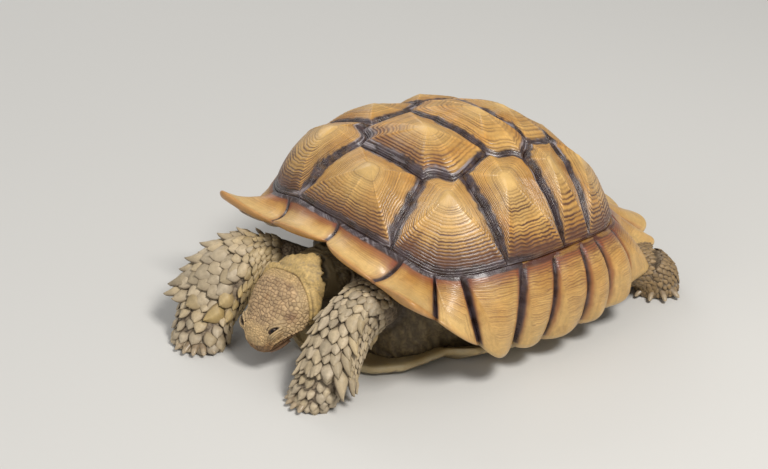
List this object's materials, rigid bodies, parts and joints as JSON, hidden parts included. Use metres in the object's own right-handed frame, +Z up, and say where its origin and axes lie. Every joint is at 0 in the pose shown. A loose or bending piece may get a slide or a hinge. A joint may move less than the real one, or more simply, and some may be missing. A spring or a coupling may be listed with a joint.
{
  "type": "tortoise",
  "caption": "Large land tortoise standing low with its head down to feed: ridged plated shell, flared rim plates, scaly forelegs with blunt claws.",
  "frame": {"origin": "on the flat underside of the belly plate, in the middle of the shell's width, where the animal rests on the ground", "axes": "-Y is where the head and forelegs point, +X is the animal's left, +Z is up"},
  "size_m": [0.4976, 0.7028, 0.2921],
  "materials": {
    "carapace_plate": "horn-like plates, satin, ringed with fine growth ridges",
    "marginal_plate": "horn-like rim plates, satin, ringed, darker in the seams",
    "plastron_plate": "pale horn, satin, lightly scuffed",
    "skin": "dry wrinkled reptile skin, matt",
    "scale": "thick dry scales, matt with worn tips",
    "beak": "dry horn, low sheen",
    "eye": "wet, dark, mirror-smooth"
  },
  "bodies": {
    "root": {"vertebral_1": "carapace_plate", "vertebral_2": "carapace_plate", "vertebral_3": "carapace_plate", "vertebral_4": "carapace_plate", "vertebral_5": "carapace_plate", "costal_left_1": "carapace_plate", "costal_left_2": "carapace_plate", "costal_left_3": "carapace_plate", "costal_left_4": "carapace_plate", "costal_right_1": "carapace_plate", "costal_right_2": "carapace_plate", "costal_right_3": "carapace_plate", "costal_right_4": "carapace_plate", "marginal_left_1": "marginal_plate", "marginal_left_2": "marginal_plate", "marginal_left_3": "marginal_plate", "marginal_left_4": "marginal_plate", "marginal_left_5": "marginal_plate", "marginal_left_6": "marginal_plate", "marginal_left_7": "marginal_plate", "marginal_left_8": "marginal_plate", "marginal_left_9": "marginal_plate", "marginal_left_10": "marginal_plate", "marginal_left_11": "marginal_plate", "marginal_right_1": "marginal_plate", "marginal_right_2": "marginal_plate", "marginal_right_3": "marginal_plate", "marginal_right_4": "marginal_plate", "marginal_right_5": "marginal_plate", "marginal_right_6": "marginal_plate", "marginal_right_7": "marginal_plate", "marginal_right_8": "marginal_plate", "marginal_right_9": "marginal_plate", "marginal_right_10": "marginal_plate", "marginal_right_11": "marginal_plate", "supracaudal": "marginal_plate", "plastron": "plastron_plate", "trunk": "skin", "neck": "skin", "head": "skin", "tail": "skin", "foreleg_left": "skin", "foreleg_right": "skin", "hindleg_left": "skin", "hindleg_right": "skin", "forefoot_left": "scale", "forefoot_right": "scale", "hindfoot_left": "scale", "hindfoot_right": "scale", "lower_jaw": "beak", "eye_left": "eye", "eye_right": "eye"}
  },
  "joints": []
}
